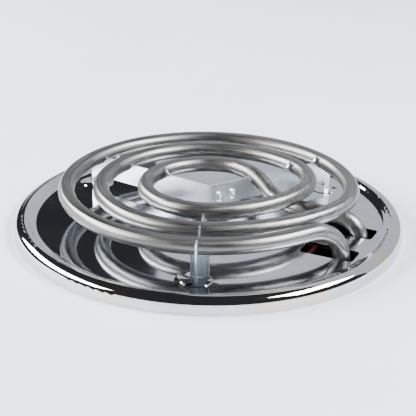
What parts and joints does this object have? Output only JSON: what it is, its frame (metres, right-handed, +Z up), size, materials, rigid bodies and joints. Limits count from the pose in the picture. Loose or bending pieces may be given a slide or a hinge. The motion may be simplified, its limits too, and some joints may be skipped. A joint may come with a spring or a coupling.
{
  "type": "hot plate burner",
  "caption": "Plug-in coil heating element on a three-arm support over a shallow round chrome drip pan, with a hinged receptacle and supply leads beneath.",
  "frame": {"origin": "on the burner's axis, at the plane where the pan's rim stands on the hob", "axes": "+Z up, +X from the burner's axis to the receptacle, parallel to both plug-in blades"},
  "size_m": [0.2218, 0.197, 0.0541],
  "materials": {
    "coil_steel": "satin, fine lengthwise grain",
    "spider_zinc": "bright zinc-plated strip",
    "pan_chrome": "mirror chrome plate",
    "bracket_zinc": "zinc-plated sheet",
    "magnesia": "packed white powder",
    "nichrome": "dark drawn wire",
    "pin_nickel": "nickel-plated blade",
    "seal_ceramic": "unglazed ceramic",
    "block_ceramic": "unglazed steatite",
    "spring_bronze": "spring bronze",
    "screw_steel": "machined, zinc-plated",
    "lead_red": "varnished glass-fibre sleeve"
  },
  "bodies": {
    "base": {"drip_pan": "pan_chrome", "locating_ring": "bracket_zinc", "hinge_bracket": "bracket_zinc", "bracket_rivets": "screw_steel", "hinge_pin": "screw_steel", "pin_clip": "screw_steel", "lead_wire_1": "lead_red", "lead_wire_2": "lead_red", "supply_connector": "block_ceramic", "connector_screws": "screw_steel", "connector_bracket": "bracket_zinc", "connector_fixing": "screw_steel"},
    "receptacle": {"terminal_block": "block_ceramic", "block_cover": "block_ceramic", "cover_screws": "screw_steel", "contact_spring_1": "spring_bronze", "contact_spring_2": "spring_bronze", "contact_tab_1": "spring_bronze", "contact_tab_2": "spring_bronze", "push_on_1": "pin_nickel", "push_on_2": "pin_nickel"},
    "element": {"coil_sheath": "coil_steel", "magnesia_core": "magnesia", "resistance_wire": "nichrome", "cold_pin_1": "pin_nickel", "cold_pin_2": "pin_nickel", "end_seal_1": "seal_ceramic", "end_seal_2": "seal_ceramic", "spider_cross_strip": "spider_zinc", "spider_front_arm": "spider_zinc", "clinch_rivets": "spider_zinc"}
  },
  "joints": [
    {"name": "element_tilt", "type": "hinge", "parent": "base", "child": "receptacle", "pos_m": [0.09553, 0, -0.0074], "axis": [0, 1, 0], "range_deg": [0, 10]},
    {"name": "element_unplug", "type": "slide", "parent": "receptacle", "child": "element", "axis": [-1, 0, 0], "range_m": [0, 0.011]}
  ]
}
